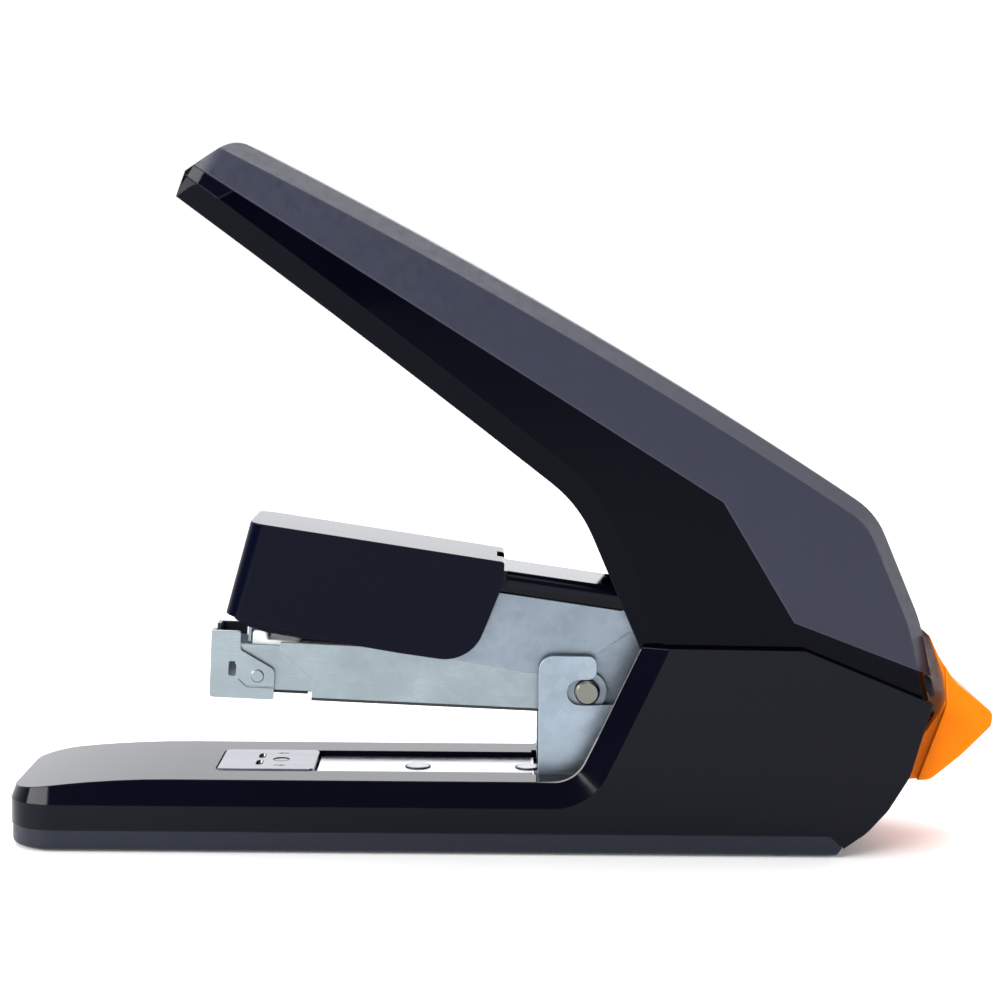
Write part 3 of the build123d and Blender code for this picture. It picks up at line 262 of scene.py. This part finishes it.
def gloss_plastic(name, base, edge_tone, smooth=0.05, ior=1.22):
    """Polished moulded plastic with faint smudges, hairline scuffs and paler edges."""
    m = Mat(name)
    m.set(IOR=ior)
    tone = m.mix(m.noise(60), scaled(base, 0.9), scaled(base, 1.2))
    # The colour is mixed towards the second colour along the edges.
    m.color(m.mix(m.math("MULTIPLY", m.edges(0.0006), 0.6), tone, edge_tone))
    smudge = m.ramp(m.noise(35, 5), 0.45, 0.75, 0.0, 0.09)
    scuff = m.ramp(m.noise(900, 2, stretch=(1, 1, 0.15)), 0.6, 0.8, 0.0, 0.05)
    m.rough(m.math("ADD", m.math("ADD", smudge, scuff), smooth))
    m.surface([(m.noise(300, 2), 0.02, 0.0002)], 0.0004)
    return m.mat


def matte_plastic(name, base, edge_tone, rough=0.5, grain=2600.0, depth=0.5, ior=1.45):
    """Spark-eroded or satin plastic: fine grain, cloudy tone and paler edges."""
    m = Mat(name)
    m.set(IOR=ior)
    tone = m.mix(m.noise(90, 5), scaled(base, 0.9), scaled(base, 1.12))
    # The colour is mixed towards the second colour along the edges.
    m.color(m.mix(m.math("MULTIPLY", m.edges(0.0009), 0.5), tone, edge_tone))
    m.rough(m.ramp(m.noise(400, 4), 0.3, 0.7, rough - 0.06, rough + 0.08))
    m.surface([(m.noise(grain, 3, 0.6), depth, 0.00006), (m.noise(150, 3), 0.05, 0.0004)], 0.0005)
    return m.mat


def steel(name, base, rough=0.25, brushed=(8, 400, 400), cloud=0.0, spangle=0.0, painted_shade_inside=0.0):
    """Plated sheet: rolling grain, cloudy plating, crystal spangle and bright cut edges, with painted
    shade on faces near the middle when a half width is given.
    """
    m = Mat(name)
    m.set(Metallic=1.0)
    grain = m.noise(6, 6, 0.7, stretch=brushed)
    tone = m.mix(grain, scaled(base, 0.88), base)
    patches = m.ramp(m.noise(55, 6, 0.6), 0.38, 0.66, 0.0, 1.0)
    tone = m.mix(m.math("MULTIPLY", patches, cloud), tone, scaled(base, 0.62))
    tone = m.mix(m.math("MULTIPLY", m.cells(420), spangle), tone, scaled(base, 1.25))
    # Painted shade: faces nearer the middle than the given half width drop to 12 percent of the base
    # colour, standing for the shadow between the guard's walls.
    if painted_shade_inside:
        tone = m.mix(m.inside(painted_shade_inside), tone, scaled(base, 0.12))
    m.color(m.mix(m.math("MULTIPLY", m.edges(0.0004), 0.7), tone, scaled(base, 1.3)))
    haze = m.math("MULTIPLY", patches, cloud * 0.35)
    m.rough(m.math("ADD", m.ramp(grain, 0.25, 0.75, rough - 0.07, rough + 0.09), haze))
    m.surface([(grain, 0.10, 0.00005), (m.noise(160, 4), 0.04, 0.0003)], 0.00025)
    return m.mat


def floor_paper():
    m = Mat("floor_paper")
    m.color(m.mix(m.noise(3, 3), (0.93, 0.93, 0.93), (0.95, 0.95, 0.95)))
    m.rough(m.ramp(m.noise(20, 3), 0.3, 0.7, 0.6, 0.7))
    m.set(Emission_Color=PURE_WHITE, Emission_Strength=FLOOR_GLOW)
    m.surface([(m.noise(800, 3), 0.05, 0.0002)], 0.0003)
    return m.mat


# Colours are linear; the first is the material, the second the paler colour along its edges.
FINISH = {
    "gloss_black": gloss_plastic("gloss_black_plastic", (0.0014, 0.0018, 0.0055), (0.016, 0.016, 0.024)),
    "matte_charcoal": matte_plastic(
        "matte_charcoal_plastic", (0.013, 0.0155, 0.034), (0.06, 0.06, 0.085), rough=0.40, ior=1.45
    ),
    "tray_grey": matte_plastic(
        "tray_grey_plastic", (0.005, 0.008, 0.018), (0.03, 0.035, 0.05), rough=0.42, ior=1.38
    ),
    "orange": matte_plastic(
        "orange_plastic", (1.0, 0.205, 0.0), (1.0, 0.33, 0.03), rough=0.36, depth=0.12, ior=1.2
    ),
    "white_plastic": matte_plastic(
        "white_plastic", (0.72, 0.73, 0.72), (0.85, 0.85, 0.85), rough=0.35, depth=0.1
    ),
    "black_plastic": matte_plastic("black_plastic", (0.012, 0.012, 0.014), (0.05, 0.05, 0.05), rough=0.45),
    "rubber": matte_plastic(
        "black_rubber", (0.012, 0.012, 0.012), (0.04, 0.04, 0.04), rough=0.8, depth=0.8
    ),
    "nickel_steel": steel("nickel_steel", (0.32, 0.32, 0.36), 0.20, cloud=0.15),
    "zinc_steel": steel("zinc_steel", (0.255, 0.305, 0.355), 0.34, cloud=0.35, spangle=0.25),
    "pin_steel": steel("turned_steel", (0.215, 0.212, 0.192), 0.28, brushed=(300, 12, 300), cloud=0.3),
    "spring_steel": steel("spring_steel", (0.32, 0.32, 0.34), 0.28, brushed=(60, 60, 60)),
    "black_steel": steel("blackened_steel", (0.045, 0.045, 0.055), 0.38, cloud=0.4),
}
MAGAZINE_STEEL = steel("magazine_steel", (0.285, 0.335, 0.363), 0.26, cloud=0.25, spangle=0.15)
GUARD_INSIDE = 0.00735     # half the width between the guard's walls, metres; the guard steel inside it is painted dark as shade
GUARD_STEEL = steel("guard_steel", (0.29, 0.338, 0.366), 0.26, cloud=0.2, painted_shade_inside=GUARD_INSIDE)
# Painted shade: a darker copy of the gloss black for the handle's skirt, matching the skirt's dark look in
# the dim front light.
SKIRT_PAINTED_SHADE_GLOSS = gloss_plastic("skirt_painted_shade_plastic", (0.0005, 0.0008, 0.0032), (0.014, 0.014, 0.02), ior=1.15)
ANVIL_STEEL = steel("polished_anvil_steel", (0.15, 0.15, 0.175), 0.18, cloud=0.12)
BASE_STEEL = steel("base_plate_steel", (0.62, 0.61, 0.66), 0.22, cloud=0.15)
BRACKET_STEEL = steel("bracket_steel", (0.335, 0.40, 0.465), 0.34, cloud=0.35, spangle=0.25)
HEAD_GLOSS = gloss_plastic("head_gloss_plastic", (0.0012, 0.0018, 0.0075), (0.016, 0.016, 0.024), ior=1.15)
# Painted highlight: pale grey gloss for the lip beads, standing for the bright lines along the housing
# walls' front edges.
LIP_HIGHLIGHT_GLOSS = gloss_plastic(
    "lip_painted_highlight_plastic", (0.22, 0.205, 0.205), (0.30, 0.28, 0.28), smooth=0.22, ior=1.5
)
# Painted highlight: near-white steel for the fold beads, standing for the bright line along the arm's
# folded edge.
FOLD_HIGHLIGHT_STEEL = steel("fold_painted_highlight_steel", (0.80, 0.85, 0.88), 0.30, cloud=0.1)

# CAD nodes whose finish differs from their slot's usual one.
SPECIAL = {
    "magazine_channel": MAGAZINE_STEEL,
    "drawer_rails": MAGAZINE_STEEL,
    "front_guard": GUARD_STEEL,
    "handle_skirt": SKIRT_PAINTED_SHADE_GLOSS,
    "anvil_plate": ANVIL_STEEL,
    "anvil_stud": ANVIL_STEEL,
    "base_plate": BASE_STEEL,
    "frame_bracket": BRACKET_STEEL,
    "head_cover": HEAD_GLOSS,
}


# ---------------------------------------------------------------- small extra pieces
HALF_WIDTH = 25.0 * MM
WALL_FRONT = [(36.2, 53.6), (25.5, 30.5), (19.8, 18.8), (10.0, 18.8)]   # mm, side view
WALL_FRONT_RADII = [0, 30, 9, 0]
LIP_INSETS = [(2.75, "inner"), (2.25, "outer")]   # mm inwards from the wall's outer face
LIP_BEAD = 0.16 * MM
FOLD_LINE = [(25.1, 49.6), (34.2, 56.3), (42.0, 62.0)]   # mm, side view of the arm's folded flange
FOLD_BEAD = 0.17 * MM
FOLD_SINK = 0.10 * MM      # how far the fold line's middle lies inside the plate's face
RIVET_GAP = 0.15 * MM
RIVET_TUBE = 0.32 * MM
STUD_RADIUS = 2.2 * MM
STUD_TUBE = 0.14 * MM
STUD_SINK = 0.08 * MM
ARROW_OUTLINE = [              # the tip first, in arrow lengths and widths
    (0, 0), (-0.42, 0.5), (-0.36, 0.16), (-1.0, 0.24), (-1.0, -0.1), (-0.36, -0.16), (-0.42, -0.5)
]
ARROW_TIP = (1.6 * MM, 7.0 * MM)   # from the stud's centre, along X and Y
ARROW_SIZE = (3.0 * MM, 1.6 * MM, 0.05 * MM)
ARROW_SINK = 0.02 * MM
SIDES = [(-1, "right"), (1, "left")]


def rounded(points, radii, steps=10):
    """A polyline through the points with its corners turned into arcs."""
    path = []
    for i, (point, radius) in enumerate(zip(points, radii)):
        here = Vector(point)
        if not radius:
            path.append(here)
            continue
        back = (Vector(points[i - 1]) - here).normalized()
        ahead = (Vector(points[i + 1]) - here).normalized()
        half = acos(max(-1.0, min(1.0, back.dot(ahead)))) / 2
        centre = here + (back + ahead).normalized() * radius / sin(half)
        start = here + back * radius / tan(half) - centre
        end = here + ahead * radius / tan(half) - centre
        angle = atan2(start.x * end.y - start.y * end.x, start.dot(end))
        for step in range(steps + 1):
            turn = Matrix.Rotation(angle * step / steps, 2)
            path.append(centre + turn @ start)
    return path


def piece(name, mesh_or_curve, material, body):
    obj = bpy.data.objects.new(name, mesh_or_curve)
    scene.collection.objects.link(obj)
    obj.data.materials.append(material)
    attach(obj, body)
    return obj


def bead(name, path, thickness, material, body):
    """A thin rounded ridge along a path, tapering out at both ends."""
    curve = bpy.data.curves.new(name, "CURVE")
    curve.dimensions = "3D"
    curve.bevel_depth = thickness
    curve.bevel_resolution = 3
    curve.use_fill_caps = True
    spline = curve.splines.new("POLY")
    spline.points.add(len(path) - 1)
    for i, (point, place) in enumerate(zip(spline.points, path)):
        point.co = (*place, 1.0)
        end_gap = min(i, len(path) - 1 - i)
        point.radius = min(1.0, 0.35 + 0.3 * end_gap)
    return piece(name, curve, material, body)


def make_lip_beads():
    """Twin moulded ridges along the front edge of each housing wall, in pale grey as painted highlight
    lines.
    """
    profile = rounded(WALL_FRONT, WALL_FRONT_RADII)
    for side, label in SIDES:
        for inset, kind in LIP_INSETS:
            y = side * (HALF_WIDTH - inset * MM)
            path = [Vector((p.x * MM, y, p.y * MM)) for p in profile]
            bead(f"lip_highlight_bead_{kind}_{label}", path, LIP_BEAD, LIP_HIGHLIGHT_GLOSS, "base")


def make_fold_lines():
    """The folded edge that crosses each arm plate above the pivot, as a bead in near-white steel: a
    painted highlight.
    """
    outer_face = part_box("striker_arm")[1][1]
    for side, label in SIDES:
        y = side * (outer_face - FOLD_SINK)
        path = [Vector((x * MM, y, z * MM)) for x, z in FOLD_LINE]
        bead(f"arm_fold_highlight_{label}", path, FOLD_BEAD, FOLD_HIGHLIGHT_STEEL, "arm")


def ring_mesh(name, centre, radius, tube, segments=40, sides=8):
    """A thin ring lying flat."""
    mesh = bpy.data.meshes.new(name)
    form = bmesh.new()
    loops = []
    for i in range(segments):
        turn = 2 * pi * i / segments
        outward = Vector((cos(turn), sin(turn), 0))
        loop = []
        for j in range(sides):
            roll = 2 * pi * j / sides
            rise = Vector((0, 0, tube * sin(roll)))
            loop.append(form.verts.new(Vector(centre) + outward * (radius + tube * cos(roll)) + rise))
        loops.append(loop)
    for i in range(segments):
        for j in range(sides):
            near, far = loops[i], loops[(i + 1) % segments]
            form.faces.new((near[j], far[j], far[(j + 1) % sides], near[(j + 1) % sides]))
    for face in form.faces:
        face.smooth = True
    form.normal_update()
    form.to_mesh(mesh)
    form.free()
    return mesh


def make_rivet_rings():
    """Dark rings where the base plate's rivets are set."""
    low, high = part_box("base_rivets")
    plate_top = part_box("base_plate")[1][2]
    radius = (high[1] - low[1]) / 2
    for x, label in ((low[0] + radius, "front"), (high[0] - radius, "rear")):
        mesh = ring_mesh(f"rivet_ring_{label}", (x, 0, plate_top), radius + RIVET_GAP, RIVET_TUBE)
        piece(f"rivet_ring_{label}", mesh, FINISH["black_steel"], "base")


def make_stud_ring():
    """The dark gap round the anvil's stud."""
    low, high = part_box("anvil_stud")
    anvil_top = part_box("anvil_plate")[1][2]
    centre = ((low[0] + high[0]) / 2, 0, anvil_top - STUD_SINK)
    mesh = ring_mesh("stud_ring", centre, STUD_RADIUS, STUD_TUBE)
    piece("stud_ring", mesh, FINISH["black_steel"], "anvil")


def arrow_mesh(name, tip, length, width, height):
    """A flat arrow head with a short curved tail, pointing along X."""
    mesh = bpy.data.meshes.new(name)
    form = bmesh.new()
    corners = [form.verts.new(Vector(tip) + Vector((x * length, y * width, 0))) for x, y in ARROW_OUTLINE]
    face = form.faces.new(corners)
    raised = bmesh.ops.extrude_face_region(form, geom=[face])["geom"]
    for vertex in raised:
        if isinstance(vertex, bmesh.types.BMVert):
            vertex.co.z += height
    bmesh.ops.recalc_face_normals(form, faces=form.faces)
    form.to_mesh(mesh)
    form.free()
    return mesh


def make_anvil_marks():
    """Two turning arrows beside the anvil's stud."""
    stud_low, stud_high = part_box("anvil_stud")
    anvil_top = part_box("anvil_plate")[1][2]
    centre_x = (stud_low[0] + stud_high[0]) / 2
    length, width, height = ARROW_SIZE
    for side, label in ((-1, "near"), (1, "far")):
        tip = (centre_x - side * ARROW_TIP[0], side * ARROW_TIP[1], anvil_top - ARROW_SINK)
        mesh = arrow_mesh(f"anvil_arrow_{label}", tip, -side * length, width, height)
        piece(f"anvil_arrow_{label}", mesh, FINISH["black_steel"], "anvil")


def make_floor():
    mesh = bpy.data.meshes.new("floor")
    corners = [(x * FLOOR_REACH, y * FLOOR_REACH, 0) for x, y in ((-1, -1), (1, -1), (1, 1), (-1, 1))]
    mesh.from_pydata(corners, [], [(0, 1, 2, 3)])
    mesh.materials.append(floor_paper())
    floor = bpy.data.objects.new("floor", mesh)
    scene.collection.objects.link(floor)


def finish_cad_nodes():
    slot_of = {row["node"]: row["material_slot"] for row in frame["record"]["subparts"]}
    for name, obj in nodes.items():
        obj.data.materials.clear()
        obj.data.materials.append(SPECIAL.get(name) or FINISH[slot_of[name]])


make_camera()
make_studio()
make_floor()
finish_cad_nodes()
make_lip_beads()
make_fold_lines()
make_rivet_rings()
make_stud_ring()
make_anvil_marks()
